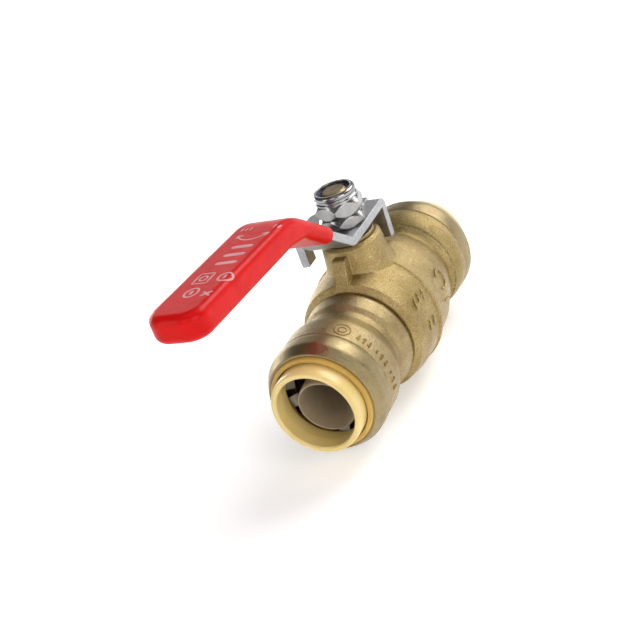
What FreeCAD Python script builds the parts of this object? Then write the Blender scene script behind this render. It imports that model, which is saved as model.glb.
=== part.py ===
"""Push-connect quarter-turn ball valve for 3/4 inch copper-size tube (22.2 mm outside diameter).

All sizes are millimetres.  The parts are drawn about the ball: the tube axis is X, the stem axis is Z
and they cross at zero.  On export everything moves by FRAME_SHIFT, so that the origin of the finished
part is the outer end of the inlet's bore, with +X pointing out of the inlet and +Z up the stem.
The lever is drawn open, lying along the tube above the inlet.
"""
import FreeCAD, Part
import math
import os

V = FreeCAD.Vector
X_AXIS = V(1, 0, 0)
Y_AXIS = V(0, 1, 0)
Z_AXIS = V(0, 0, 1)
ORIGIN = V(0, 0, 0)

# ---------------------------------------------------------------- driving dimensions
INLET_FACE = 50.8          # stem axis to the inlet collar's face
OUTLET_FACE = 45.4         # stem axis to the outlet collar's face
MOUTH_ROUND = 0.4          # lead-in at the collar's mouth, outside the bore
FRAME_SHIFT = V(MOUTH_ROUND - INLET_FACE, 0, 0)

# Ball and seats
BALL_R = 13.4
BALL_BORE_R = 8.2
SEAT_BORE_R = 8.4
SEAT_R = 12.6
SEAT_FRONT = 8.5           # distance of the seat's ball side from the stem axis
SEAT_BACK = 12.85
SEAT_GAP = 0.1             # between ball and seat
CHAMBER_R = 14.0
WATERWAY_R = 8.6

# Casting and tail
TAIL_SHOULDER = 14.65      # where the tail's shoulder meets the casting
SPIGOT_R = 14.5            # screwed part of the tail
SPIGOT_END = 8.25
THREAD_GAP = 0.05
SEAL_R = 15.4
SEAL_T = 1.15
SEAL_FLOOR = TAIL_SHOULDER - SEAL_T
SEAT_FLOOR = SEAT_BACK + 0.05

# Socket, drawn with its collar's face at x = 0 and the valve on the side of -X
SOCKET_FLOOR = -25.4       # where the tube stops
SOCKET_BORE_R = 11.35
GLAND_R = 14.55            # bore that holds the O-ring
GLAND_FLOOR = -19.1
RING_R = 15.2              # grab ring and O-ring protector, in a counterbore of the socket
RING_GAP = 0.05
RING_FLOOR = -13.35
SOCKET_END = -10.5
SEAM = -13.5               # joint between the socket and its end cap
CAP_MOUTH = -5.3
CAP_MOUTH_R = 15.05
CAP_R = 17.35
COLLAR_BORE_R = 11.35
BORE_LENGTH = 4.0          # land that guides the tube; the collar is relieved behind it
COLLAR_RELIEF_R = 11.95
COLLAR_R = 13.2
COLLAR_LENGTH = 8.6
COLLAR_GAP = 0.08
RETAINER_R = 15.6
RING_T = 0.5
TOOTH_COUNT = 14
TOOTH_ROOT_R = 13.8
TOOTH_TIP_R = 10.95
TOOTH_WIDTH = 3.4
O_RING_SECTION = 3.6
LINER_R = 8.4
LINER_BORE_R = 7.7
LINER_BASE = -24.3
LINER_FRONT = -5.3

# Neck, stem and packing
NECK_TOP = 26.6
NECK_R = 8.9
PACKING_BORE_R = 6.35
LEDGE_BOTTOM = 16.3
LEDGE_TOP = 18.4
STEM_R = 4.5
STEM_GAP = 0.05
STEM_FLANGE_R = 6.0
THREAD_R = 4.0
FLAT_HALF = 2.9
STEM_TOP = 41.6
STEM_END_R = 3.1           # the stem's top, tapered in from its thread
STEM_END_TAPER = 1.0
STEM_SHOULDER = 28.3       # where the stem steps in to its thread, just under the lever plate
TANG_LENGTH = 9.0
TANG_WIDTH = 3.6
SLOT_FLOOR = 9.8
LUG_HALF = 2.0
LUG_TOP = 24.7

# Lever
PLATE_TOP = 31.0
STEEL_T = 2.5
STRIP_HALF = 6.8
ARM_START = 10.2           # where the plate's top face would meet the arm's
ARM_ANGLE = 37.5
GRIP_ANGLE = 4.5
PLATE_BEND_R = 3.0
ARM_BEND_R = 17.0
GRIP_CORNER = 38.0         # where the arm's top face would meet the grip's
LEVER_TIP = 92.0
FLANGE_DEPTH = 5.3
FLANGE_START = 26.5        # along the arm, where the grip's flanges begin
FLANGE_EASE = V(1.5, 0, 0.12)   # their lower corner, off the meeting of arm and grip
TIP_CORNER = 4.6
SLEEVE_T = 1.2
SLEEVE_START = 14.0        # along the arm, from ARM_START
SLEEVE_ROUND = 2.4
MOUTH_NORMAL = V(-math.cos(math.radians(ARM_ANGLE)), 0, -math.sin(math.radians(ARM_ANGLE)))
TAB_LIMIT = 2.2            # inner edge of both tabs, just off the stop lug
BACK_TAB_X = -10.2         # where each tab leaves the plate
SIDE_TAB_Y = -10.5

# Nuts
NUT_FLATS = 13.0
NUT_TURN = 45.0            # direction that one flat of each nut faces
NUT_CHAMFER_SLOPE = 1.4    # drop of a turned corner for each millimetre of radius
JAM_NUT_T = 3.6
LOCK_NUT_HEX_T = 4.4
LOCK_NUT_TOP = 41.9
CRIMP_COLLAR_R = 6.25
NUT_GAP = 0.03
INSERT_BOTTOM = PLATE_TOP + JAM_NUT_T + 3.6
INSERT_R = 5.4
CRIMP_R = 5.05             # opening left by the crimped edge above the insert


# ---------------------------------------------------------------- drawing helpers
def revolve(points, axis=X_AXIS):
    """Turn a closed outline of (distance along the axis, radius) pairs into a ring or a bar.

    A third value in a pair is the radius of a rounding of that corner.
    """
    flat = [V(p[0], 0, p[1]) for p in points]
    rounds = [p[2] if len(p) > 2 else 0 for p in points]
    wire = rounded_wire(flat, rounds)
    solid = Part.Face(wire).revolve(ORIGIN, X_AXIS, 360)
    if axis == Z_AXIS:
        solid.rotate(ORIGIN, Y_AXIS, -90)
    return solid


def rounded_wire(points, rounds):
    """Closed wire through the points, with each corner rounded by a tangent arc."""
    count = len(points)
    corners = []
    for i, corner in enumerate(points):
        corners.append(corner_arc(points[i - 1], corner, points[(i + 1) % count], rounds[i]))
    edges = []
    for i in range(count):
        start, middle, end = corners[i]
        if middle is not None:
            edges.append(Part.Arc(start, middle, end).toShape())
        following = corners[(i + 1) % count][0]
        if end.distanceToPoint(following) > 1e-6:
            edges.append(Part.makeLine(end, following))
    return Part.Wire(edges)


def corner_arc(before, corner, after, radius):
    """Start, middle and end of the arc that rounds a corner; the middle is None at a sharp one."""
    if radius <= 0:
        return corner, None, corner
    to_before = (before - corner).normalize()
    to_after = (after - corner).normalize()
    half = to_before.getAngle(to_after) / 2
    reach = radius / math.tan(half)
    inward = (to_before + to_after).normalize()
    middle = corner + inward * (radius / math.sin(half) - radius)
    return corner + to_before * reach, middle, corner + to_after * reach


def prism(points, direction, rounds=None):
    """Extrude a closed flat outline of vectors along a direction."""
    rounds = rounds or [0] * len(points)
    return Part.Face(rounded_wire(points, rounds)).extrude(direction)


def block(low, high):
    size = V(*high) - V(*low)
    return Part.makeBox(size.x, size.y, size.z, V(*low))


def tube(outer, inner, start, end, axis=Z_AXIS):
    return revolve([(start, inner), (start, outer), (end, outer), (end, inner)], axis)


def hexagon(flats, start, end, turn):
    """Hexagonal bar along Z; turn is the direction that one flat faces, in degrees."""
    radius = flats / math.sqrt(3)
    points = []
    for i in range(6):
        angle = math.radians(turn + 30 + 60 * i)
        points.append(V(radius * math.cos(angle), radius * math.sin(angle), start))
    return prism(points, V(0, 0, end - start))


def one_solid(shape):
    """The shape without seams between coplanar faces, as a single solid."""
    solids = shape.removeSplitter().Solids
    if len(solids) != 1:
        raise ValueError("expected one solid, found %d" % len(solids))
    return solids[0]


# ---------------------------------------------------------------- socket ends
def socket_outside():
    """Outline of a socket behind its cap, from its end in to the groove: (x, radius, rounding)."""
    return [(SOCKET_END, RING_R + RING_GAP), (SOCKET_END, 16.2), (SEAM, 16.2), (SEAM, 17.15, 0.4),
            (-21.0, 17.15, 6.0), (-26.4, 14.85, 2.0)]


def socket_inside():
    """Outline of the tube's way in, from the waterway out to the counterbore for the two rings."""
    return [(SOCKET_FLOOR, WATERWAY_R), (SOCKET_FLOOR, SOCKET_BORE_R), (GLAND_FLOOR, SOCKET_BORE_R),
            (GLAND_FLOOR, GLAND_R), (RING_FLOOR, GLAND_R), (RING_FLOOR, RING_R + RING_GAP)]


def end_cap():
    """Brass cap screwed over the end of the socket, rounded down to the mouth."""
    return revolve([
        (SEAM + 0.1, 16.25), (SEAM + 0.1, 17.1, 0.4), (SEAM + 1.6, CAP_R, 2.0),
        (-8.6, CAP_R, 2.8), (CAP_MOUTH, 15.7, 0.35), (CAP_MOUTH, CAP_MOUTH_R),
        (-7.3, CAP_MOUTH_R), (-7.3, RETAINER_R + 0.05), (-10.5, RETAINER_R + 0.05), (-10.5, 16.25)])


def release_collar():
    """Plastic collar that is pushed in to let the tube go; it is relieved and tapered at its nose."""
    return revolve([
        (0, COLLAR_BORE_R + MOUTH_ROUND), (0, COLLAR_R - 0.25, 0.7), (-1.4, COLLAR_R, 0.6),
        (-COLLAR_LENGTH, COLLAR_R), (-COLLAR_LENGTH, 12.3),
        (-COLLAR_LENGTH + 0.4, COLLAR_RELIEF_R), (-BORE_LENGTH - MOUTH_ROUND - 0.5, COLLAR_RELIEF_R),
        (-BORE_LENGTH - MOUTH_ROUND, COLLAR_BORE_R),
        (-MOUTH_ROUND, COLLAR_BORE_R)])


def retaining_ring():
    """Plastic ring that guides the collar and is held under the cap's lip."""
    inner = COLLAR_R + COLLAR_GAP
    return revolve([
        (-4.4, inner + 0.25, 0.2), (-4.4, 14.7, 0.6), (-5.4, 14.98), (-7.4, 14.98),
        (-7.4, RETAINER_R), (-10.45, RETAINER_R), (-10.45, inner)])


def grab_ring():
    """Stainless ring whose spring teeth lean inwards and bite on the tube."""
    front, back = SOCKET_END, SOCKET_END - RING_T
    ring = tube(RING_R, TOOTH_ROOT_R - 0.2, back, front, X_AXIS)
    tooth_outline = [V(front, 0, TOOTH_ROOT_R), V(back, 0, TOOTH_ROOT_R), V(-12.7, 0, TOOTH_TIP_R),
                     V(-12.3, 0, TOOTH_TIP_R)]
    for i in range(TOOTH_COUNT):
        tooth = prism([p - Y_AXIS * TOOTH_WIDTH / 2 for p in tooth_outline], Y_AXIS * TOOTH_WIDTH)
        tooth.rotate(ORIGIN, X_AXIS, 360.0 * i / TOOTH_COUNT)
        ring = ring.fuse(tooth)
    bore = Part.makeCylinder(TOOTH_TIP_R, 4, V(-14, 0, 0), X_AXIS)
    return one_solid(ring.cut(bore))


def o_ring_protector():
    """Stepped plastic ring between the teeth and the O-ring."""
    return revolve([(-11.05, 14.05), (-11.05, RING_R), (-13.3, RING_R), (-13.3, GLAND_R - 0.05),
                    (-15.1, GLAND_R - 0.05), (-15.1, 11.6), (-12.9, 11.6), (-12.9, 14.05)])


def tube_o_ring():
    radius = O_RING_SECTION / 2
    return Part.makeTorus(GLAND_R - 0.05 - radius, radius, V(-17.0, 0, 0), X_AXIS)


def tube_liner():
    """Thin plastic tube that stands in the socket and stiffens soft pipe."""
    base = LINER_BASE
    front = LINER_FRONT
    return revolve([
        (base, LINER_BORE_R), (base, SOCKET_BORE_R - 0.25), (base + 0.8, SOCKET_BORE_R - 0.25),
        (base + 1.6, LINER_R + 0.2), (front - 1.2, LINER_R), (front, LINER_R - 0.35, 0.1),
        (front, LINER_BORE_R + 0.1, 0.1), (front - 0.5, LINER_BORE_R)])


def at_inlet(shape):
    shape.translate(V(INLET_FACE, 0, 0))
    return shape


def at_outlet(shape):
    shape.rotate(ORIGIN, Z_AXIS, 180)
    shape.translate(V(-OUTLET_FACE, 0, 0))
    return shape


# ---------------------------------------------------------------- casting, tail, ball and seats
def valve_body():
    """Brass casting: ball chamber, outlet socket and stem neck with its two stop lugs."""
    socket = [(-OUTLET_FACE - p[0],) + tuple(p[1:]) for p in socket_outside()]
    socket_end = socket[0][0]
    outside = [(14.6, 0), (socket_end, 0)] + socket[:-1] + [
        (-24.2, 14.7, 2.0), (-20.6, 14.6, 0.5), (-20.3, 15.6, 0.4), (-17.0, 16.9, 8.0),
        (-11.0, 18.5, 12.0), (-0.7, 19.4), (-0.5, 19.85, 0.2), (0.5, 19.85, 0.2), (0.7, 19.4),
        (7.5, 19.2, 8.0), (13.5, 18.1, 0.5), (14.6, 16.3, 0.2)]
    way_out = [(-OUTLET_FACE - x, r) for x, r in socket_inside()]
    mouth_r = RING_R + RING_GAP
    hollow = [(16, 0), (16, SEAL_R + THREAD_GAP), (SEAL_FLOOR, SEAL_R + THREAD_GAP),
              (SEAL_FLOOR, SPIGOT_R + THREAD_GAP), (7.6, SPIGOT_R + THREAD_GAP), (7.6, CHAMBER_R),
              (-8.2, CHAMBER_R), (-8.2, SEAT_R + THREAD_GAP), (-SEAT_FLOOR, SEAT_R + THREAD_GAP),
              (-SEAT_FLOOR, WATERWAY_R)] + way_out + [(socket_end - 1, mouth_r), (socket_end - 1, 0)]
    neck = revolve([(0, 0), (0, 12.0), (14.2, 12.0), (16.8, 10.5, 3.0), (19.2, 9.6, 3.0),
                    (NECK_TOP - 0.9, NECK_R), (NECK_TOP, NECK_R - 0.9), (NECK_TOP, 0)], Z_AXIS)
    body = revolve(outside).fuse([neck, stop_lug(0), stop_lug(180)])
    stem_way = revolve([(0, 0), (0, STEM_FLANGE_R + 0.4), (LEDGE_BOTTOM, STEM_FLANGE_R + 0.4),
                        (LEDGE_BOTTOM, STEM_R + STEM_GAP), (LEDGE_TOP, STEM_R + STEM_GAP),
                        (LEDGE_TOP, PACKING_BORE_R), (NECK_TOP + 1, PACKING_BORE_R),
                        (NECK_TOP + 1, 0)], Z_AXIS)
    return one_solid(body.cut(revolve(hollow)).cut(stem_way))


def stop_lug(turn):
    """Lug cast on the neck, which a tab of the lever meets when fully open or fully closed."""
    outline = [V(6, -LUG_HALF, LUG_TOP), V(11.6, -LUG_HALF, LUG_TOP), V(14.55, -LUG_HALF, 16.2),
               V(14.55, -LUG_HALF, 15.6), V(6, -LUG_HALF, 15.0)]
    lug = prism(outline, V(0, 2 * LUG_HALF, 0), [0, 1.0, 0, 0, 0])
    lug.rotate(ORIGIN, Z_AXIS, turn)
    return lug


def inlet_tail():
    """Brass tail screwed into the casting; it carries the inlet socket and holds a ball seat."""
    socket = [(INLET_FACE + p[0],) + tuple(p[1:]) for p in socket_outside()]
    way_in = [(INLET_FACE + x, r) for x, r in socket_inside()]
    return revolve(socket + [
        (22.2, 14.85, 1.5), (20.6, 15.9, 1.5), (16.4, 16.3, 1.0), (TAIL_SHOULDER, 15.6, 0.3),
        (TAIL_SHOULDER, SPIGOT_R), (SPIGOT_END, SPIGOT_R), (SPIGOT_END, SEAT_R + THREAD_GAP),
        (SEAT_FLOOR, SEAT_R + THREAD_GAP), (SEAT_FLOOR, WATERWAY_R)] + way_in)


def body_seal():
    return tube(SEAL_R, SPIGOT_R + THREAD_GAP, TAIL_SHOULDER - SEAL_T, TAIL_SHOULDER, X_AXIS)


def ball():
    """Bored ball with a slot across its top for the stem's tang."""
    sphere = Part.makeSphere(BALL_R)
    bore = Part.makeCylinder(BALL_BORE_R, 4 * BALL_R, V(-2 * BALL_R, 0, 0), X_AXIS)
    half = TANG_WIDTH / 2 + 0.1
    slot = block((-half, -BALL_R, SLOT_FLOOR), (half, BALL_R, BALL_R + 1))
    return one_solid(sphere.cut(bore).cut(slot))


def ball_seat():
    """Ring whose front is hollowed to the ball."""
    ring = tube(SEAT_R, SEAT_BORE_R, SEAT_FRONT, SEAT_BACK, X_AXIS)
    return one_solid(ring.cut(Part.makeSphere(BALL_R + SEAT_GAP)))


# ---------------------------------------------------------------- stem and packing
def stem():
    """Brass stem: tang, flange that can't blow out, shaft, two flats and a threaded top."""
    turned = revolve([
        (13.3, 0), (13.3, STEM_FLANGE_R, 0.3), (15.1, STEM_FLANGE_R, 0.3), (15.1, STEM_R),
        (STEM_SHOULDER, STEM_R), (STEM_SHOULDER, THREAD_R), (STEM_TOP - STEM_END_TAPER, THREAD_R),
        (STEM_TOP, STEM_END_R, 0.25), (STEM_TOP, 0)], Z_AXIS)
    tang = block((-TANG_WIDTH / 2, -TANG_LENGTH / 2, SLOT_FLOOR + 0.3),
                 (TANG_WIDTH / 2, TANG_LENGTH / 2, 13.5))
    for side in (-1, 1):
        flat = block((-6, FLAT_HALF, STEM_SHOULDER), (6, 8, PLATE_TOP + 1.0))
        if side < 0:
            flat.rotate(ORIGIN, Z_AXIS, 180)
        turned = turned.cut(flat)
    return one_solid(turned.fuse(tang))


def stem_thrust_washer():
    return tube(STEM_FLANGE_R, STEM_R + STEM_GAP, 15.15, LEDGE_BOTTOM - 0.05)


def stem_packing():
    """Packing ring with a raised lip at the shaft."""
    return revolve([(LEDGE_TOP + 0.02, STEM_R + STEM_GAP), (LEDGE_TOP + 0.02, PACKING_BORE_R - 0.05),
                    (20.4, PACKING_BORE_R - 0.05), (21.0, STEM_R + 0.6), (21.0, STEM_R + STEM_GAP)],
                   Z_AXIS)


def stem_o_ring():
    radius = (PACKING_BORE_R - STEM_R - 0.1) / 2
    return Part.makeTorus(STEM_R + STEM_GAP + radius, radius, V(0, 0, 21.95))


def gland_nut():
    """Ring nut screwed into the neck; its two slots take a pin spanner."""
    nut = revolve([(22.9, STEM_R + STEM_GAP), (22.9, PACKING_BORE_R - 0.05),
                   (NECK_TOP + 0.05, PACKING_BORE_R - 0.05), (NECK_TOP + 0.05, 7.3),
                   (27.6, 7.3, 0.3), (27.6, STEM_R + STEM_GAP)], Z_AXIS)
    slot = block((-8, -0.9, 26.9), (8, 0.9, 28))
    return one_solid(nut.cut(slot))


# ---------------------------------------------------------------- lever
def lever_line():
    """Corners of the lever's top face, seen from the side, as (x, z) vectors in the plane y = 0."""
    rise = math.tan(math.radians(ARM_ANGLE)) * (GRIP_CORNER - ARM_START)
    grip_start = V(GRIP_CORNER, 0, PLATE_TOP + rise)
    grip_rise = math.tan(math.radians(GRIP_ANGLE)) * (LEVER_TIP - GRIP_CORNER)
    return (V(ARM_START, 0, PLATE_TOP), grip_start,
            V(LEVER_TIP, 0, PLATE_TOP + rise + grip_rise))


def parallel_line(points, depth):
    """The same open line moved square to itself by a depth, downwards where it runs along +X."""
    moved = []
    for i, point in enumerate(points):
        into = (point - points[i - 1]).normalize() if i > 0 else None
        out = (points[i + 1] - point).normalize() if i + 1 < len(points) else None
        if into is None or out is None:
            along = out or into
            moved.append(point + V(along.z, 0, -along.x) * depth)
            continue
        turn = into.getAngle(out) / 2
        along = (into + out).normalize()
        moved.append(point + V(along.z, 0, -along.x) * (depth / math.cos(turn)))
    return moved


def along_arm(distance, depth):
    """Point on the arm, a distance up it from ARM_START and a depth under its top face."""
    angle = math.radians(ARM_ANGLE)
    up_arm = V(math.cos(angle), 0, math.sin(angle))
    return V(ARM_START, 0, PLATE_TOP) + up_arm * distance + V(up_arm.z, 0, -up_arm.x) * depth


def plan(x_start, x_end, half, corner):
    """Tall block with the lever's outline as seen from above, round at the tip."""
    points = [V(x_start, -half, 0), V(x_end, -half, 0), V(x_end, half, 0), V(x_start, half, 0)]
    return prism(points, V(0, 0, 90), [0, corner, corner, 0])


def side_bar(outline, rounds, half):
    """Bar with a given outline as seen from the side, half wide to each side of the stem's plane."""
    return prism([p - Y_AXIS * half for p in outline], Y_AXIS * 2 * half, rounds)


def lever_plate():
    """Pressed steel lever: plate with two stop tabs, rising arm and channel-shaped grip."""
    corner, grip, tip = lever_line()
    top = [V(-8, 0, PLATE_TOP), corner, grip, tip]
    under = parallel_line(top, STEEL_T)
    bends = [0, PLATE_BEND_R, ARM_BEND_R, 0, 0, ARM_BEND_R - STEEL_T, PLATE_BEND_R + STEEL_T, 0]
    strip = side_bar(top + under[::-1], bends, STRIP_HALF)
    low = parallel_line([corner, grip, tip], FLANGE_DEPTH)
    channel = side_bar([along_arm(24.0, 1.0), grip - Z_AXIS, tip - Z_AXIS, low[2],
                        low[1] + FLANGE_EASE, along_arm(FLANGE_START, STEEL_T)],
                       [0, ARM_BEND_R - 1, 0, 0, 2, 0], STRIP_HALF)
    hollow = side_bar([along_arm(20.0, -6), grip - Z_AXIS, tip - Z_AXIS, V(LEVER_TIP, 0, 30),
                       V(20, 0, 30)], [0] * 5, STRIP_HALF - STEEL_T)
    lever = strip.fuse(channel.cut(hollow)).common(plan(-20, LEVER_TIP, STRIP_HALF, TIP_CORNER))
    lever = lever.fuse([lever_ear(), side_tab(), back_tab()])
    hole = Part.makeCylinder(THREAD_R + 0.05, 8, V(0, 0, 26))
    hole = hole.common(block((-6, -FLAT_HALF - 0.05, 25), (6, FLAT_HALF + 0.05, 35)))
    return one_solid(lever.cut(hole))


def lever_ear():
    """The plate around the stem: wider on the side of -Y, and cut off at its back corner."""
    outline = [(6.8, -11), (6.8, STRIP_HALF), (BACK_TAB_X, STRIP_HALF), (BACK_TAB_X, TAB_LIMIT - 0.3),
               (-14.4, TAB_LIMIT - 0.3), (-14.4, -6.6), (-6.6, -14.3), (TAB_LIMIT - 0.3, -14.3),
               (TAB_LIMIT - 0.3, -11)]
    points = [V(x, y, PLATE_TOP - STEEL_T) for x, y in outline]
    return prism(points, V(0, 0, STEEL_T), [0, 0, 0, 0, 0.8, 1.5, 1.5, 0.8, 0])


def bent_tab(drop, width, lean=0.0):
    """Tab that leaves the plate along +X, is bent down to a drop, and is as wide as asked along +Y.

    Its foot can lean back by some way from square.
    """
    reach = 4.0
    inside = reach - STEEL_T
    outline = [V(0, 0, 0), V(reach, 0, 0), V(reach - lean, 0, -drop), V(inside - lean, 0, -drop),
               V(inside, 0, -STEEL_T), V(0, 0, -STEEL_T)]
    return prism(outline, Y_AXIS * width, [0, 2.2, 0.5, 0.5, 0.4, 0])


def side_tab():
    """Tab at the ear's front corner, which meets the rear lug when the valve is closed."""
    tab = bent_tab(PLATE_TOP - 21.4, 6.8 - TAB_LIMIT)
    tab.rotate(ORIGIN, Z_AXIS, -90)
    tab.translate(V(TAB_LIMIT, SIDE_TAB_Y, PLATE_TOP))
    return tab


def back_tab():
    """Tab at the back of the plate, which meets the rear lug when the valve is open."""
    tab = bent_tab(PLATE_TOP - 18.8, STRIP_HALF - TAB_LIMIT, 0.7)
    tab.rotate(ORIGIN, Z_AXIS, 180)
    tab.translate(V(BACK_TAB_X, STRIP_HALF, PLATE_TOP))
    return tab


def sleeve_bar(skin, start):
    """Solid bar round the arm and the grip, a skin thicker than the steel, from a place on the arm."""
    corner, grip, tip = lever_line()
    beyond = tip + (tip - grip).normalize() * 6
    top = parallel_line([corner, grip, beyond], -skin)
    low = parallel_line([corner, grip, beyond], FLANGE_DEPTH + skin)
    outline = [along_arm(start, -skin), top[1], top[2], low[2], low[1] + FLANGE_EASE,
               along_arm(FLANGE_START, STEEL_T + skin), along_arm(start, STEEL_T + skin)]
    bar = side_bar(outline, [0, ARM_BEND_R + 2 * skin, 0, 0, 6, 6, 0], STRIP_HALF + skin)
    return one_solid(bar.common(plan(0, LEVER_TIP + skin, STRIP_HALF + skin, TIP_CORNER + skin)))


def lever_sleeve():
    """Soft vinyl sleeve pushed over the arm and the grip, closed at the tip, with rounded edges."""
    outer = sleeve_bar(SLEEVE_T, SLEEVE_START)
    outer = outer.makeFillet(SLEEVE_ROUND, [e for e in outer.Edges if bounds_one_wall(outer, e)])
    return one_solid(outer.cut(sleeve_bar(0.02, SLEEVE_START - 4)))


def bounds_one_wall(bar, edge):
    """True for an edge between an upright side wall and the top or the underside of a bar."""
    walls = 0
    for face in bar.ancestorsOfType(edge, Part.Face):
        u_low, u_high, v_low, v_high = face.ParameterRange
        normal = face.normalAt((u_low + u_high) / 2, (v_low + v_high) / 2)
        if abs(normal.getAngle(MOUTH_NORMAL)) < 0.01:
            return False
        walls += abs(normal.z) < 0.01
    return walls == 1


# ---------------------------------------------------------------- nuts
def nut_blank(start, end, low_chamfer, high_chamfer):
    """Hexagonal bar with its corners turned off at the ends that are asked for."""
    bar = hexagon(NUT_FLATS, start, end, NUT_TURN)
    corner = NUT_FLATS / math.sqrt(3)
    face = NUT_FLATS / 2 - 0.2
    drop = (corner - face) * NUT_CHAMFER_SLOPE
    low = start + (drop if low_chamfer else 0)
    high = end - (drop if high_chamfer else 0)
    turned = revolve([(start, 0), (start, face if low_chamfer else corner), (low, corner),
                      (high, corner), (end, face if high_chamfer else corner), (end, 0)], Z_AXIS)
    return bar.common(turned)


def jam_nut():
    nut = nut_blank(PLATE_TOP, PLATE_TOP + JAM_NUT_T, True, True)
    return one_solid(nut.cut(Part.makeCylinder(THREAD_R + NUT_GAP, 20, V(0, 0, 28))))


def lock_nut():
    """Lock nut with a round collar that is crimped over its plastic insert."""
    bottom = PLATE_TOP + JAM_NUT_T
    hex_top = bottom + LOCK_NUT_HEX_T
    blank = nut_blank(bottom, hex_top, True, True)
    collar = revolve([(hex_top - 0.3, 0), (hex_top - 0.3, 6.3), (hex_top + 0.4, 6.3, 0.2),
                      (hex_top + 0.7, 5.9, 0.2), (hex_top + 1.2, 5.9, 0.3),
                      (hex_top + 1.6, CRIMP_COLLAR_R, 0.3), (LOCK_NUT_TOP, CRIMP_COLLAR_R, 0.9),
                      (LOCK_NUT_TOP, 0)], Z_AXIS)
    room = revolve([(INSERT_BOTTOM, 0), (INSERT_BOTTOM, INSERT_R), (LOCK_NUT_TOP - 0.8, INSERT_R),
                    (LOCK_NUT_TOP - 0.8, CRIMP_R), (LOCK_NUT_TOP + 1, CRIMP_R), (LOCK_NUT_TOP + 1, 0)],
                   Z_AXIS)
    bore = Part.makeCylinder(THREAD_R + NUT_GAP, 20, V(0, 0, 30))
    return one_solid(blank.fuse(collar).cut(room).cut(bore))


def lock_nut_insert():
    return tube(INSERT_R - 0.03, THREAD_R + NUT_GAP, INSERT_BOTTOM + 0.02, LOCK_NUT_TOP - 0.85)


# ---------------------------------------------------------------- files
def parts():
    """Every piece by name, in its place about the ball."""
    made = {
        "valve_body": valve_body(), "inlet_tail": inlet_tail(), "body_seal": body_seal(),
        "ball": ball(), "stem": stem(), "stem_thrust_washer": stem_thrust_washer(),
        "stem_packing": stem_packing(), "stem_o_ring": stem_o_ring(), "gland_nut": gland_nut(),
        "lever_plate": lever_plate(), "lever_sleeve": lever_sleeve(), "jam_nut": jam_nut(),
        "lock_nut": lock_nut(), "lock_nut_insert": lock_nut_insert(),
    }
    outlet_seat = ball_seat()
    outlet_seat.rotate(ORIGIN, Z_AXIS, 180)
    made["inlet_seat"] = ball_seat()
    made["outlet_seat"] = outlet_seat
    end_pieces = {
        "end_cap": end_cap, "release_collar": release_collar, "retaining_ring": retaining_ring,
        "grab_ring": grab_ring, "o_ring_protector": o_ring_protector, "tube_o_ring": tube_o_ring,
        "tube_liner": tube_liner,
    }
    for name, make in end_pieces.items():
        made["inlet_" + name] = at_inlet(make())
        made["outlet_" + name] = at_outlet(make())
    return made


def main():
    os.makedirs("parts", exist_ok=True)
    for name, shape in parts().items():
        if not shape.isValid() or len(shape.Solids) != 1:
            raise ValueError("%s is not one valid solid" % name)
        shape.translate(FRAME_SHIFT)
        shape.exportStep("parts/%s.step" % name)
        print("%-26s %10.1f mm3" % (name, shape.Volume))


main()
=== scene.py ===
"""Looks of the push-connect ball valve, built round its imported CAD.

Everything is in metres and in the frame of the CAD: +X points out of the inlet, +Z up the stem.
Marks are placed in millimetres with x counted from the stem axis.
"""
import math
import bmesh
import bpy
from mathutils import Euler, Matrix, Vector


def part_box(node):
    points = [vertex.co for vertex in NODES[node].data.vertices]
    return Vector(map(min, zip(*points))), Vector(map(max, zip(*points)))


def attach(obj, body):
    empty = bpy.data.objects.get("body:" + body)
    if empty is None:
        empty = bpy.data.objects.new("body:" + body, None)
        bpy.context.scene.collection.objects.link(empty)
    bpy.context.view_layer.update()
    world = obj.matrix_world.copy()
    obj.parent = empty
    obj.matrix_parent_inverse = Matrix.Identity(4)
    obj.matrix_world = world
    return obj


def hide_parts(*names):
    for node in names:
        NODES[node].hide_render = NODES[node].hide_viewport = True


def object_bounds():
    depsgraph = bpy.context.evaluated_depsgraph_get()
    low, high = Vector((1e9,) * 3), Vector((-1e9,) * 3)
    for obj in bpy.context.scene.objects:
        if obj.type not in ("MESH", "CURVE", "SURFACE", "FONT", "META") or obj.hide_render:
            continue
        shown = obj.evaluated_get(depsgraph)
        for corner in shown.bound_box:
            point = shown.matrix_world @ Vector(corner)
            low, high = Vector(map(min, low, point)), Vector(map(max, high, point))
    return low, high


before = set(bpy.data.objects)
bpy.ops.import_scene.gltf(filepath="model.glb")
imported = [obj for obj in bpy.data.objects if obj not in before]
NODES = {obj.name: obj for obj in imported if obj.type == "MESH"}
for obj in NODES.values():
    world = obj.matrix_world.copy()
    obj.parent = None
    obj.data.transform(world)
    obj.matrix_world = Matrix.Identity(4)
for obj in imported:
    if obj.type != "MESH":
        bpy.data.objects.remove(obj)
cad_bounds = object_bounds()
SCENE = bpy.context.scene
MM = 0.001

# Where things are, read from the CAD
STEM_X = sum(c.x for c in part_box("jam_nut")) / 2
FLOOR_Z = cad_bounds[0][2]
LINER_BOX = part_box("inlet_tube_liner")
SLEEVE_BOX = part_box("lever_sleeve")


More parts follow.
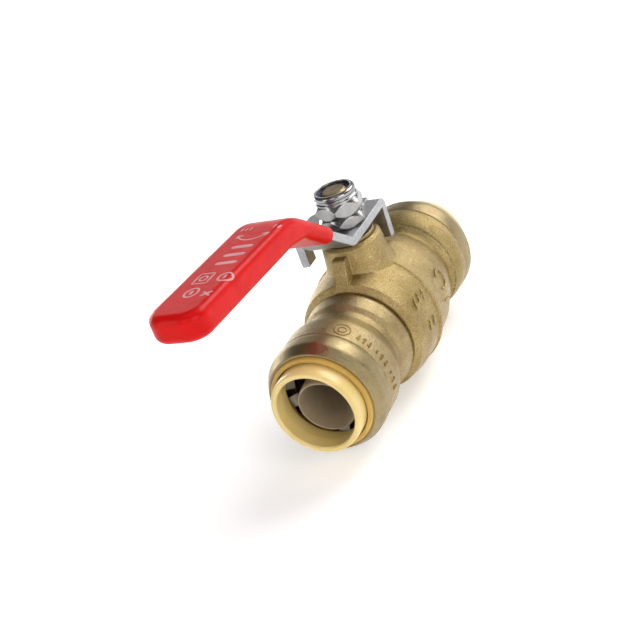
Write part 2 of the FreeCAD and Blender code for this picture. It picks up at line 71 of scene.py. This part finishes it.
# ---------------------------------------------------------------- node helpers
class Nodes:
    """Short way to write a material's node tree."""

    def __init__(self, name):
        self.material = bpy.data.materials.new(name)
        self.material.use_nodes = True
        self.tree = self.material.node_tree
        self.shader = self.tree.nodes["Principled BSDF"]
        self.place = self.add("ShaderNodeTexCoord").outputs["Object"]

    def add(self, kind, **values):
        node = self.tree.nodes.new(kind)
        for key, value in values.items():
            setattr(node, key, value)
        return node

    def link(self, source, target):
        self.tree.links.new(source, target)

    def feed(self, socket, value):
        if isinstance(value, bpy.types.NodeSocket):
            self.link(value, socket)
        else:
            socket.default_value = value

    def noise(self, scale, detail=4.0, stretch=(1, 1, 1)):
        """Noise whose scale counts grains in a metre; stretch squeezes it along each axis."""
        mapping = self.add("ShaderNodeMapping")
        mapping.inputs["Scale"].default_value = stretch
        self.link(self.place, mapping.inputs["Vector"])
        node = self.add("ShaderNodeTexNoise")
        self.link(mapping.outputs["Vector"], node.inputs["Vector"])
        node.inputs["Scale"].default_value = scale
        node.inputs["Detail"].default_value = detail
        node.inputs["Roughness"].default_value = 0.6
        return node.outputs["Fac"]

    def span(self, value, low, high, to_low=0.0, to_high=1.0):
        node = self.add("ShaderNodeMapRange", clamp=True)
        ends = {"From Min": low, "From Max": high, "To Min": to_low, "To Max": to_high}
        for name, number in ends.items():
            node.inputs[name].default_value = number
        self.link(value, node.inputs["Value"])
        return node.outputs["Result"]

    def math(self, operation, first, second):
        node = self.add("ShaderNodeMath", operation=operation)
        self.feed(node.inputs[0], first)
        self.feed(node.inputs[1], second)
        return node.outputs[0]

    def mix(self, factor, first, second):
        node = self.add("ShaderNodeMix", data_type="RGBA")
        self.feed(node.inputs["Factor"], factor)
        self.feed(node.inputs["A"], first)
        self.feed(node.inputs["B"], second)
        return node.outputs["Result"]

    def edges(self, radius):
        """Near 1 along sharp edges and 0 on flat ground, with the rounded normal it comes from."""
        rounded = self.add("ShaderNodeBevel", samples=6)
        rounded.inputs["Radius"].default_value = radius
        true = self.add("ShaderNodeNewGeometry").outputs["Normal"]
        dot = self.add("ShaderNodeVectorMath", operation="DOT_PRODUCT")
        self.link(rounded.outputs["Normal"], dot.inputs[0])
        self.link(true, dot.inputs[1])
        return self.span(dot.outputs["Value"], 0.99, 0.85), rounded.outputs["Normal"]

    def bump(self, heights, normal=None):
        """Stack of (height, distance in metres) bumps, on top of a rounded normal."""
        for height, distance in heights:
            node = self.add("ShaderNodeBump")
            node.inputs["Distance"].default_value = distance
            self.link(height, node.inputs["Height"])
            if normal is not None:
                self.link(normal, node.inputs["Normal"])
            normal = node.outputs["Normal"]
        self.link(normal, self.shader.inputs["Normal"])


def rgb(code):
    """Linear colour from an sRGB hexadecimal code."""
    channels = [int(code[i:i + 2], 16) / 255 for i in (0, 2, 4)]
    linear = [c / 12.92 if c <= 0.04045 else ((c + 0.055) / 1.055) ** 2.4 for c in channels]
    return tuple(linear) + (1.0,)


def finish_material(name, tones, roughness, metallic, grain, edge, coat=0.0, extra_bumps=(),
                    patch=110.0, subsurface=0.0, edge_wear_and_highlight=None, speckle=None, gloss=0.5):
    """A surface with patchy colour, edges painted lighter (partly rubbed wear, partly a painted highlight),
    uneven roughness and grain.

    Scales count grains in a metre.  tones are (main, darker) and roughness is (least, most).  grain and
    each extra bump are (scale, depth in metres, stretch).  edge is the radius that edges seem rounded to; the
    edge colour, partly rubbed wear and partly a painted highlight, is painted along them; and speckle is
    (scale, colour, share) of fine darker grains.
    """
    n = Nodes(name)
    main, darker = tones
    patches = n.span(n.noise(patch), 0.35, 0.65)
    colour = n.mix(n.math("MULTIPLY", patches, 0.75), main, darker)
    if speckle:
        spots = n.span(n.noise(speckle[0], 2.0), 0.42, 0.62)
        colour = n.mix(n.math("MULTIPLY", spots, speckle[2]), colour, speckle[1])
    highlight_and_wear_mask, normal = n.edges(edge)
    edge_breakup = n.span(n.noise(patch * 9), 0.42, 0.62)
    highlight_and_wear_mask = n.math("MULTIPLY", highlight_and_wear_mask, n.math("MULTIPLY", edge_breakup, 0.7))
    # Sharp edges are painted a lighter colour here: partly rubbed wear, partly a painted highlight.
    if edge_wear_and_highlight is not None:
        colour = n.mix(highlight_and_wear_mask, colour, edge_wear_and_highlight)
    n.link(colour, n.shader.inputs["Base Color"])
    low, high = roughness
    uneven = n.span(n.noise(patch * 4), 0.3, 0.7, low, high)
    n.link(n.math("SUBTRACT", uneven, n.math("MULTIPLY", highlight_and_wear_mask, 0.06)), n.shader.inputs["Roughness"])
    scale, depth, stretch = grain
    heights = [(n.noise(scale, 5.0, stretch), depth)]
    for scale, depth, stretch in extra_bumps:
        heights.append((n.noise(scale, 4.0, stretch), depth))
    n.bump(heights, normal)
    n.shader.inputs["Metallic"].default_value = metallic
    n.shader.inputs["Specular IOR Level"].default_value = gloss
    n.shader.inputs["Coat Weight"].default_value = coat
    n.shader.inputs["Coat Roughness"].default_value = 0.12
    n.shader.inputs["Subsurface Weight"].default_value = subsurface
    n.shader.inputs["Subsurface Radius"].default_value = (0.0022, 0.0014, 0.0006)
    return n.material


EVEN = (1, 1, 1)
TURNED = (14, 1, 1)           # stretch of the turning lines: close together along the tube
# The worn colour given to a finish is painted along its sharp edges: partly rubbed wear, partly a painted
# highlight.
MATERIALS = {
    "cast_brass": finish_material(
        "cast_brass", (rgb("BBA573"), rgb("9A8452")), (0.26, 0.38), 1.0, (2600, 0.00026, EVEN), 0.0004,
        extra_bumps=[(1000, 0.00014, EVEN)], edge_wear_and_highlight=rgb("E2D2A4"), speckle=(2400, rgb("705A32"), 0.5)),
    "turned_brass": finish_material(
        "turned_brass", (rgb("A59570"), rgb("8B7B57")), (0.32, 0.45), 1.0, (380, 0.00008, TURNED), 0.0003,
        extra_bumps=[(1900, 0.00006, EVEN)], edge_wear_and_highlight=rgb("CDBC8E"), speckle=(1600, rgb("7D6840"), 0.25)),
    "ball_chrome": finish_material(
        "ball_chrome", (rgb("D5D7DA"), rgb("C3C6CA")), (0.06, 0.12), 1.0, (1500, 0.00001, EVEN), 0.0002),
    "seat_ptfe": finish_material(
        "seat_ptfe", (rgb("EDEDE8"), rgb("E0E0DA")), (0.4, 0.5), 0.0, (1500, 0.00003, EVEN), 0.0002,
        subsurface=0.1),
    "seal_rubber": finish_material(
        "seal_rubber", (rgb("1C1C1D"), rgb("121213")), (0.5, 0.65), 0.0, (2000, 0.00004, EVEN), 0.0002),
    "zinc_steel": finish_material(
        "zinc_steel", (rgb("BBBBBD"), rgb("A5A6A9")), (0.34, 0.48), 1.0, (700, 0.00005, (1, 6, 1)), 0.00035,
        extra_bumps=[(2400, 0.00004, EVEN)], edge_wear_and_highlight=rgb("C8CACD"), speckle=(1500, rgb("77787B"), 0.3)),
    "bright_nut": finish_material(
        "bright_nut", (rgb("AAA9A8"), rgb("7B7977")), (0.14, 0.26), 1.0, (900, 0.00002, (1, 1, 5)), 0.0003,
        edge_wear_and_highlight=rgb("E2E3E5")),
    "insert_nylon": finish_material(
        "insert_nylon", (rgb("232C4B"), rgb("171C30")), (0.32, 0.45), 0.0, (1800, 0.00003, EVEN), 0.0002),
    "red_vinyl": finish_material(
        "red_vinyl", (rgb("CE0E0D"), rgb("BC0B0C")), (0.30, 0.42), 0.0, (1700, 0.00005, EVEN), 0.0003,
        coat=0.10, extra_bumps=[(260, 0.00006, EVEN)], edge_wear_and_highlight=rgb("D42A26"), gloss=0.08),
    "collar_acetal": finish_material(
        "collar_acetal", (rgb("E6CF8A"), rgb("DCC378")), (0.28, 0.38), 0.0, (1300, 0.00003, EVEN), 0.0003,
        coat=0.15, subsurface=0.4, edge_wear_and_highlight=rgb("EFDFAA")),
    "ring_acetal": finish_material(
        "ring_acetal", (rgb("CBA750"), rgb("B08A38")), (0.32, 0.42), 0.0, (1300, 0.00003, EVEN), 0.0003,
        subsurface=0.2),
    "liner_plastic": finish_material(
        "liner_plastic", (rgb("A3937A"), rgb("92826A")), (0.36, 0.48), 0.0, (1500, 0.00004, EVEN), 0.0002,
        subsurface=0.08, edge_wear_and_highlight=rgb("CBBCA4")),
    "teeth_steel": finish_material(
        "teeth_steel", (rgb("8A8474"), rgb("6A6557")), (0.3, 0.42), 1.0, (1500, 0.00002, EVEN), 0.00015),
    "protector_plastic": finish_material(
        "protector_plastic", (rgb("3A3328"), rgb("2A251D")), (0.4, 0.5), 0.0, (1500, 0.00003, EVEN), 0.0002),
}
# Here too the worn colour is painted along sharp edges: partly rubbed wear, partly a painted highlight.
TAIL_BRASS = finish_material(
    "tail_brass", (rgb("B3A077"), rgb("9A865C")), (0.30, 0.42), 1.0, (1900, 0.00024, EVEN), 0.0003,
    extra_bumps=[(380, 0.00006, TURNED)], edge_wear_and_highlight=rgb("D6C596"), speckle=(2000, rgb("7A653D"), 0.4))
PRINT = finish_material(
    "sleeve_print", (rgb("D6A2A4"), rgb("C68C8E")), (0.55, 0.7), 0.0, (3000, 0.00003, EVEN), 0.00005,
    patch=420.0)
STAMPED = finish_material(
    "stamped_brass", (rgb("857043"), rgb("735F37")), (0.4, 0.55), 1.0, (1500, 0.00006, EVEN), 0.0001,
    patch=420.0, edge_wear_and_highlight=rgb("CDBC8E"))
PAINT = finish_material(
    "paint_dot", (rgb("70402A"), rgb("6A4A30")), (0.45, 0.6), 0.0, (3000, 0.00004, EVEN), 0.0001, patch=500.0)


# ---------------------------------------------------------------- mesh helpers
SHARP_ANGLE = 35.0            # degrees between faces, past which an edge is shaded sharp
LATHE_STEPS = 128
MARK_SUNK = 0.15 * MM         # how far a raised mark reaches into what it stands on
MARK_SECTIONS = 14            # corners round a mark's cross-section


def new_piece(name, bm, body, material):
    """A closed mesh, shaded smooth except at sharp edges, that rides on a body."""
    bmesh.ops.recalc_face_normals(bm, faces=bm.faces)
    mesh = bpy.data.meshes.new(name)
    bm.to_mesh(mesh)
    bm.free()
    mesh.materials.append(material)
    mesh.shade_smooth()
    mesh.set_sharp_from_angle(angle=math.radians(SHARP_ANGLE))
    piece = bpy.data.objects.new(name, mesh)
    SCENE.collection.objects.link(piece)
    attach(piece, body)
    return piece


def lathe(profile, place):
    """Closed ring turned about X from (x, radius) pairs, then moved by a matrix."""
    bm = bmesh.new()
    rings = []
    for i in range(LATHE_STEPS):
        turn = 2 * math.pi * i / LATHE_STEPS
        rings.append([bm.verts.new(place @ Vector((x, r * math.cos(turn), r * math.sin(turn))))
                      for x, r in profile])
    count = len(profile)
    for i in range(LATHE_STEPS):
        a, b = rings[i], rings[(i + 1) % LATHE_STEPS]
        for j in range(count):
            k = (j + 1) % count
            bm.faces.new((a[j], a[k], b[k], b[j]))
    return bm


def on_casting(node, x_mm, angle):
    """Point and normal of a turned surface, at a place along the tube and an angle up from +Y."""
    turn = math.radians(angle)
    out = Vector((0, math.cos(turn), math.sin(turn)))
    start = Vector((STEM_X + x_mm * MM, 0, 0)) + out * 0.05
    found, point, normal, _ = NODES[node].ray_cast(start, -out)
    if not found:
        raise ValueError("no surface under the mark at x %.1f" % x_mm)
    return point, normal


def on_sleeve(x_mm, y_mm):
    """Point and normal of the sleeve's top."""
    start = Vector((STEM_X + x_mm * MM, y_mm * MM, SLEEVE_BOX[1].z + 0.01))
    found, point, normal, _ = NODES["lever_sleeve"].ray_cast(start, Vector((0, 0, -1)))
    if not found:
        raise ValueError("no sleeve under the mark at x %.1f" % x_mm)
    return point, normal


def add_stroke(bm, places, width, proud, closed):
    """Soft raised line through (point, normal) places, round at its ends unless it closes."""
    count = len(places)
    rings = []
    for i, (point, normal) in enumerate(places):
        before = places[i - 1 if i or closed else 0][0]
        after = places[(i + 1) % count if closed or i + 1 < count else i][0]
        along = (after - before).normalized()
        side = along.cross(normal).normalized()
        shrink = 1.0
        if not closed:
            from_end = min(i, count - 1 - i)
            shrink = (0.45, 0.85)[from_end] if from_end < 2 else 1.0
        ring = []
        for j in range(MARK_SECTIONS):
            turn = 2 * math.pi * j / MARK_SECTIONS
            across = math.copysign(abs(math.cos(turn)) ** 0.6, math.cos(turn)) * width / 2 * shrink
            rise = math.copysign(abs(math.sin(turn)) ** 0.8, math.sin(turn))
            height = rise * (proud * shrink if rise > 0 else MARK_SUNK)
            ring.append(bm.verts.new(point + side * across + normal * height))
        rings.append(ring)
    for i in range(count if closed else count - 1):
        a, b = rings[i], rings[(i + 1) % count]
        for j in range(MARK_SECTIONS):
            k = (j + 1) % MARK_SECTIONS
            bm.faces.new((a[j], a[k], b[k], b[j]))
    if not closed:
        bm.faces.new(rings[0])
        bm.faces.new(rings[-1])


def line(surface, start, end, steps=8):
    """Places on a surface along a straight line of its two coordinates."""
    places = []
    for i in range(steps + 1):
        share = i / steps
        places.append(surface(start[0] + (end[0] - start[0]) * share, start[1] + (end[1] - start[1]) * share))
    return places


def arc(surface, centre, radii, start, end, steps=28, closed=False):
    """Places on a surface round an ellipse, between two angles in degrees."""
    places = []
    for i in range(steps if closed else steps + 1):
        turn = math.radians(start + (end - start) * i / steps)
        places.append(surface(centre[0] + radii[0] * math.cos(turn), centre[1] + radii[1] * math.sin(turn)))
    return places


# ---------------------------------------------------------------- finishes of the CAD pieces
for node in NODES.values():
    for held in node.material_slots:
        held.material = MATERIALS[held.material.name.split(".")[0]]
for held in NODES["inlet_tail"].material_slots:     # a sandier brass than the caps
    held.material = TAIL_BRASS


# ---------------------------------------------------------------- the near liner, as it leans
LINER_SAG, LINER_LEAN = 4.8, 2.2      # degrees down, and towards +Y
LINER_OUT, LINER_IN = 8.4 * MM, 7.7 * MM


def leaning_liner():
    """The liner with a flange at its foot and a rounded free end, leaning about its foot."""
    low, high = LINER_BOX
    length = high.x - low.x
    flange = high.z
    lean = Euler((0, math.radians(LINER_SAG), math.radians(LINER_LEAN))).to_matrix().to_4x4()
    place = Matrix.Translation((low.x, 0, 0)) @ lean
    profile = [(0, LINER_IN), (0, flange), (0.8 * MM, flange), (1.5 * MM, LINER_OUT + 0.2 * MM),
               (3.0 * MM, LINER_OUT), (length - 1.2 * MM, LINER_OUT),
               (length - 0.35 * MM, LINER_OUT - 0.12 * MM),
               (length - 0.08 * MM, LINER_OUT - 0.3 * MM), (length, LINER_OUT - 0.42 * MM),
               (length - 0.08 * MM, LINER_IN + 0.12 * MM), (length - 0.4 * MM, LINER_IN)]
    piece = new_piece("inlet_liner_leaning", lathe(profile, place), "valve",
                      MATERIALS["liner_plastic"])
    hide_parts("inlet_tube_liner")


leaning_liner()


# ---------------------------------------------------------------- generic marks in place of lettering
def marks(name, strokes, body, material):
    """One piece of soft raised lines: strokes are (places, width, proud, closed)."""
    bm = bmesh.new()
    for places, width, proud, closed in strokes:
        add_stroke(bm, places, width, proud, closed)
    return new_piece(name, bm, body, material)


def band_surface(x_mm, angle):
    return on_casting("inlet_tail", x_mm, angle)


def body_surface(x_mm, angle):
    return on_casting("valve_body", x_mm, angle)


BAND_X, BAND_HALF = 34.3, 1.3          # middle and half height of the stamped band
BAND_R = 17.15                         # radius of the tail there
BAND_RING_ANGLE = 65
# (angle, kind): kind 2 is a short plain dash, and 3 and 4 are long ones crossed at one side
BAND_DASHES = [(83, 2), (48, 3), (42, 4), (36, 3), (27, 2), (20, 4), (13, 3), (3, 2), (-5, 4), (-13, 3)]


def stamped_band():
    """Dashes of several lengths and a plain ring, where the tail is stamped."""
    strokes = []
    for angle, kind in BAND_DASHES:
        half = BAND_HALF * (0.55 if kind == 2 else 1.0)
        upright = line(band_surface, (BAND_X - half, angle), (BAND_X + half, angle))
        strokes.append((upright, 0.6 * MM, 0.24 * MM, False))
        if kind > 2:
            cross = BAND_X + (0.6 if kind == 3 else -0.6)
            bar = line(band_surface, (cross, angle - 1.5), (cross, angle + 2.4))
            strokes.append((bar, 0.5 * MM, 0.22 * MM, False))
    for radius in (2.3, 1.1):
        around = math.degrees(radius / BAND_R)
        ring = arc(band_surface, (BAND_X - 0.3, BAND_RING_ANGLE), (radius, around), 0, 360, 36, True)
        strokes.append((ring, 0.4 * MM, 0.16 * MM, True))
    return marks("band_marks", strokes, "valve", STAMPED)


def cast_marks():
    """Raised bars and a broken ring cast on the body's side."""
    strokes = []
    for x, low, high in ((9.6, 16, 26), (7.2, 17, 27), (4.4, 17, 26)):
        strokes.append((line(body_surface, (x, low), (x - 1.2, high)), 1.0 * MM, 0.5 * MM, False))
    strokes.append((line(body_surface, (9.3, 19), (4.2, 22)), 0.8 * MM, 0.45 * MM, False))
    strokes.append((arc(body_surface, (-9.6, 12), (2.6, 9), 40, 320), 1.0 * MM, 0.5 * MM, False))
    for x in (7.6, 4.8):
        strokes.append((line(body_surface, (x, -9), (x - 0.6, 1)), 0.9 * MM, 0.45 * MM, False))
    strokes.append((line(body_surface, (-11.0, -10), (-6.6, -6)), 0.9 * MM, 0.45 * MM, False))
    return marks("cast_marks", strokes, "valve", MATERIALS["cast_brass"])


def sleeve_print():
    """Arrow both ways along an arc, three plain bars, and a few plain shapes: no letters."""
    thick, thin, proud = 1.1 * MM, 0.5 * MM, 0.04 * MM
    centre_x, centre_y, radius_x, radius_y, sweep = 45.8, 1.2, 5.2, 4.7, 62      # the arrow's arc
    arrow = arc(on_sleeve, (centre_x, centre_y), (radius_x, radius_y), -sweep, sweep)
    strokes = [(arrow, thin, proud, False)]
    for side in (-1, 1):
        turn = math.radians(sweep * side)
        tip = (centre_x + radius_x * math.cos(turn) - 0.6, centre_y + radius_y * math.sin(turn) + 0.5 * side)
        for back in ((1.9, -0.5 * side), (0.5, -1.9 * side)):
            barb = line(on_sleeve, tip, (tip[0] + back[0], tip[1] + back[1]), 4)
            strokes.append((barb, thin * 1.3, proud, False))
    for y in (-3.9, -2.6, -1.3, 5.8, 7.0):
        strokes.append((line(on_sleeve, (43.0, y), (44.8, y - 0.3), 4), thin, proud, False))
    for x in (55.0, 59.6, 64.2):
        strokes.append((line(on_sleeve, (x, -1.6), (x, 4.6), 12), thick * 1.5, proud, False))
    corners = [(69.6, -2.8), (69.6, 1.4), (75.0, 1.4), (75.0, -2.8)]
    for i in range(4):
        strokes.append((line(on_sleeve, corners[i], corners[(i + 1) % 4]), thin, proud, False))
    strokes.append((arc(on_sleeve, (72.3, -0.7), (1.3, 1.0), 0, 360, 28, True), thin, proud, True))
    strokes.append((arc(on_sleeve, (72.6, 5.6), (2.1, 1.8), 0, 360, 28, True), thin * 1.2, proud, True))
    strokes.append((line(on_sleeve, (71.6, 5.6), (73.6, 5.6)), thin * 1.6, proud, False))
    strokes.append((arc(on_sleeve, (80.0, 0.0), (2.3, 1.8), 0, 360, 28, True), thin * 1.2, proud, True))
    strokes.append((line(on_sleeve, (79.0, 0.0), (81.0, 0.0)), thin * 1.6, proud, False))
    strokes.append((line(on_sleeve, (80.2, 3.6), (82.4, 6.2)), thin * 1.6, proud, False))
    strokes.append((line(on_sleeve, (82.4, 3.6), (80.2, 6.2)), thin * 1.6, proud, False))
    return marks("sleeve_print", strokes, "lever", PRINT)


def paint_dot():
    """Ragged dab of red paint on the near cap: a thin sheet, domed on top, closed at its rim."""
    centre_x, centre_angle = 43.5, 73
    half_x, half_angle = 1.3, 5.5
    bm = bmesh.new()
    rings, spokes = 5, 28
    top, low = [], []
    for i in range(rings + 1):
        share = i / rings
        for j in range(spokes if i else 1):
            turn = 2 * math.pi * j / spokes
            ragged = 1 + 0.16 * math.sin(3 * turn + 0.7) + 0.10 * math.sin(7 * turn)
            reach = share * ragged
            point, normal = on_casting("inlet_end_cap", centre_x + half_x * reach * math.cos(turn),
                                       centre_angle + half_angle * reach * math.sin(turn))
            top.append(bm.verts.new(point + normal * (0.05 * MM * (1 - share ** 4) + 0.005 * MM)))
            low.append(bm.verts.new(point - normal * 0.08 * MM))
    for sheet in (top, low):
        for j in range(spokes):
            bm.faces.new((sheet[0], sheet[1 + j], sheet[1 + (j + 1) % spokes]))
        for i in range(rings - 1):
            a, b = 1 + i * spokes, 1 + (i + 1) * spokes
            for j in range(spokes):
                k = (j + 1) % spokes
                bm.faces.new((sheet[a + j], sheet[b + j], sheet[b + k], sheet[a + k]))
    last = 1 + (rings - 1) * spokes
    for j in range(spokes):
        k = (j + 1) % spokes
        bm.faces.new((top[last + j], low[last + j], low[last + k], top[last + k]))
    return new_piece("paint_dot", bm, "valve", PAINT)


stamped_band()
cast_marks()
sleeve_print()
paint_dot()


# ---------------------------------------------------------------- floor, light and camera
FLOOR_HALF = 6.0
FLOOR_GAP = 0.0002            # below the object's lowest point


def soft_floor():
    """Plain pale floor, a little paler far away so that it runs out evenly to the horizon."""
    bm = bmesh.new()
    bmesh.ops.create_grid(bm, x_segments=2, y_segments=2, size=FLOOR_HALF)
    mesh = bpy.data.meshes.new("floor")
    bm.to_mesh(mesh)
    bm.free()
    n = Nodes("floor")
    tone = n.mix(n.span(n.noise(3.0), 0.3, 0.7), rgb("FBFBFB"), rgb("F6F6F6"))
    n.link(tone, n.shader.inputs["Base Color"])
    n.shader.inputs["Roughness"].default_value = 0.85
    n.shader.inputs["Emission Color"].default_value = (1, 1, 1, 1)
    distance = n.add("ShaderNodeVectorMath", operation="LENGTH")
    n.link(n.place, distance.inputs[0])
    glow = n.span(distance.outputs["Value"], 0.25, 1.5, 0.37, 0.95)
    n.link(glow, n.shader.inputs["Emission Strength"])
    mesh.materials.append(n.material)
    floor = bpy.data.objects.new("floor", mesh)
    floor.location = (0, 0, FLOOR_Z - FLOOR_GAP)
    SCENE.collection.objects.link(floor)


LAMP_TARGET = (STEM_X, 0, 0.01)
# name: place, size and power in watts.  The key stands on the side of +Y, and the sky behind.
LAMPS = {
    "key": ((0.50, 0.90, 0.46), (0.60, 0.55), 4.2),
    "sky": ((-0.66, 0.38, 0.66), (0.75, 0.50), 7.6),
    "card": ((-0.90, -0.60, 0.42), (0.50, 0.35), 0.45),
    "low": ((-0.50, -0.84, 0.06), (0.50, 0.30), 2.6),
    "top": ((0.05, 0.10, 1.00), (0.50, 0.50), 0.8),
    "front": ((0.88, 0.12, 0.50), (0.40, 0.35), 1.5),
    "left": ((0.60, -0.50, 0.40), (0.25, 0.60), 1.2),
}


def softbox(name, location, size, power):
    lamp = bpy.data.lights.new(name, "AREA")
    lamp.shape = "RECTANGLE"
    lamp.size, lamp.size_y = size
    lamp.energy = power
    holder = bpy.data.objects.new(name, lamp)
    holder.location = location
    holder.rotation_euler = (Vector(LAMP_TARGET) - Vector(location)).to_track_quat("-Z", "Y").to_euler()
    SCENE.collection.objects.link(holder)


soft_floor()
for lamp_name, (lamp_place, lamp_size, lamp_power) in LAMPS.items():
    softbox(lamp_name, lamp_place, lamp_size, lamp_power)


def studio_world():
    """Dim white room whose walls turn pale towards the floor, so the horizon doesn't show as a band."""
    world = bpy.data.worlds.new("studio")
    world.use_nodes = True
    tree = world.node_tree
    place = tree.nodes.new("ShaderNodeTexCoord")
    height = tree.nodes.new("ShaderNodeSeparateXYZ")
    dimming = tree.nodes.new("ShaderNodeMapRange")
    tree.links.new(place.outputs["Generated"], height.inputs["Vector"])
    tree.links.new(height.outputs["Z"], dimming.inputs["Value"])
    for name, number in (("From Min", 0.06), ("From Max", 0.24), ("To Min", 1.0), ("To Max", 0.12)):
        dimming.inputs[name].default_value = number
    background = tree.nodes["Background"]
    background.inputs["Color"].default_value = (1, 1, 1, 1)
    tree.links.new(dimming.outputs["Result"], background.inputs["Strength"])
    return world


SCENE.world = studio_world()
SCENE.view_settings.view_transform = "Standard"

CAMERA_PLACE = Vector((0.29155, 0.19791, 0.19799))
CAMERA_AZIMUTH, CAMERA_ELEVATION, CAMERA_ROLL = 32.6185, 25.8344, -21.2775   # degrees
camera_data = bpy.data.cameras.new("camera")
camera_data.lens = 85.53
camera_data.sensor_width = 36.0
camera_data.clip_start = 0.01
camera_data.dof.use_dof = False
azimuth, elevation = math.radians(CAMERA_AZIMUTH), math.radians(CAMERA_ELEVATION)
back = Vector((math.cos(azimuth) * math.cos(elevation), math.sin(azimuth) * math.cos(elevation),
               math.sin(elevation)))
level = (-back).to_track_quat("-Z", "Y").to_matrix().to_4x4()
camera = bpy.data.objects.new("camera", camera_data)
camera.matrix_world = (Matrix.Translation(CAMERA_PLACE) @ level
                       @ Matrix.Rotation(math.radians(CAMERA_ROLL), 4, "Z"))
SCENE.collection.objects.link(camera)
SCENE.camera = camera
